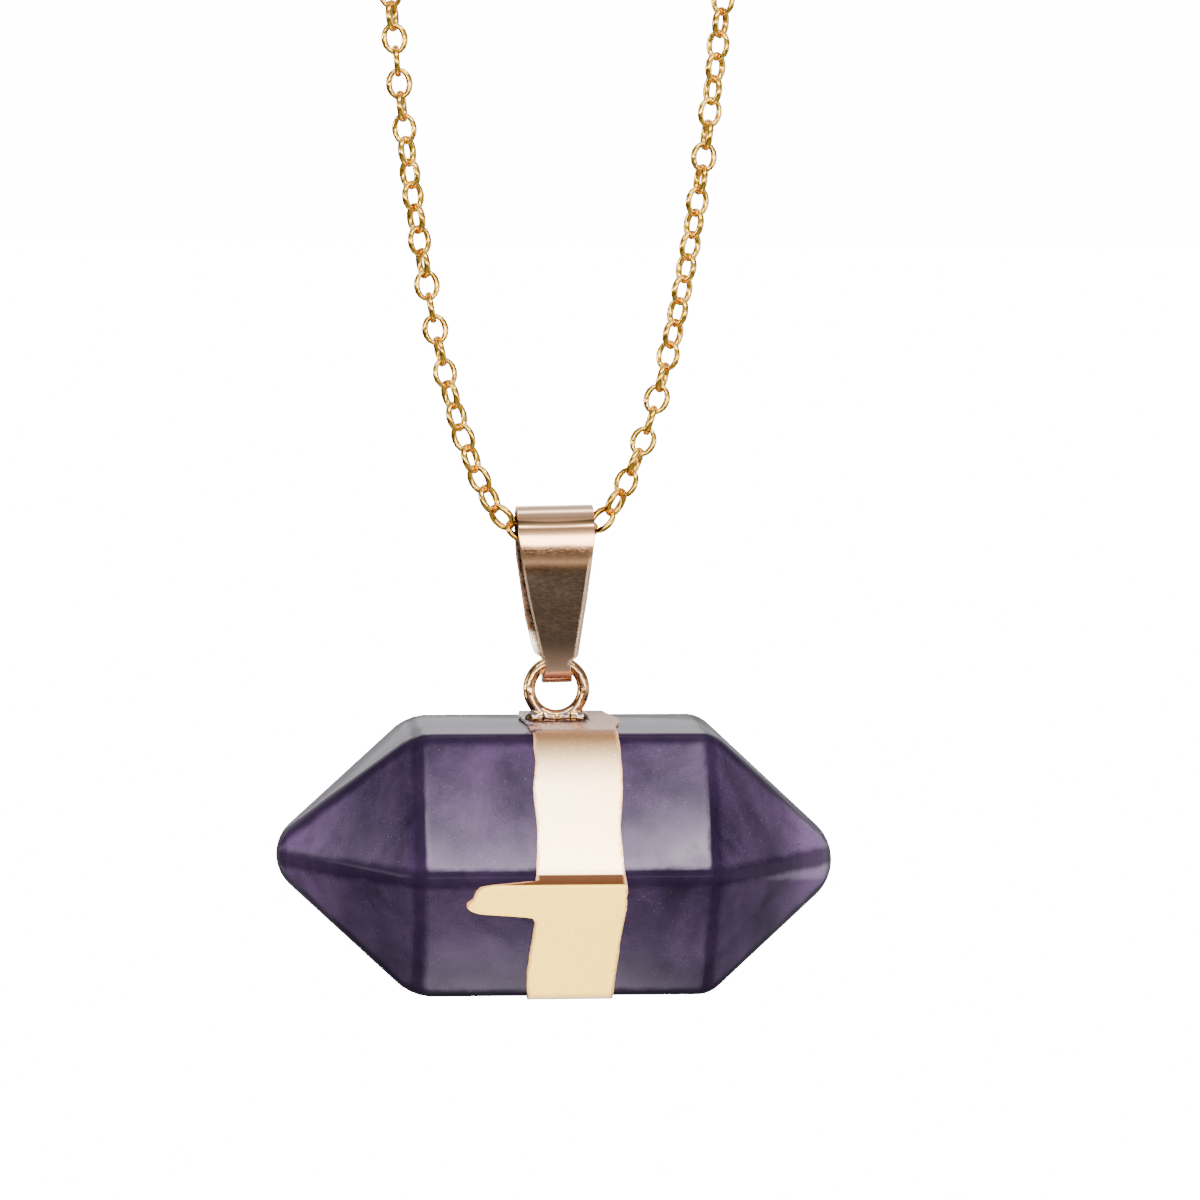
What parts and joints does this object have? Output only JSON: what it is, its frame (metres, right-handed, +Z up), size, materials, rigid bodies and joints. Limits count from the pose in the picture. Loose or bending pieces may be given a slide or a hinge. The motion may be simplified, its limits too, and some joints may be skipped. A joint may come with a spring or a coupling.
{
  "type": "stone pendant necklace",
  "caption": "Faceted two-pointed stone pendant, gold plated round the middle, hung level from a tapered folded bail on a fine oval-link chain with a plain clasp.",
  "frame": {"origin": "top of the hanging loop, on the chain's centre line inside the clasp, where the back of a neck holds it", "axes": "+Z up, +Y towards the back of the stone as worn, +X along the stone to the viewer's right; the viewer is at -Y"},
  "size_m": [0.0478, 0.022, 0.2135],
  "materials": {
    "stone": "polished",
    "gold_plating": "bright plated",
    "bail_metal": "polished",
    "chain_metal": "polished"
  },
  "bodies": {
    "necklace": {"chain_left": "chain_metal", "chain_right": "chain_metal", "clasp": "chain_metal"},
    "bail": {"bail": "bail_metal"},
    "pendant": {"stone": "stone", "gold_band": "gold_plating"}
  },
  "joints": [
    {"name": "bail_swing", "type": "hinge", "parent": "necklace", "child": "bail", "pos_m": [0, 0, -0.1783], "axis": [1, 0, 0], "range_deg": [-75, 75]},
    {"name": "pendant_swing", "type": "hinge", "parent": "bail", "child": "pendant", "pos_m": [0.0003, 0, -0.18755], "axis": [1, 0, 0], "range_deg": [-75, 75]}
  ]
}
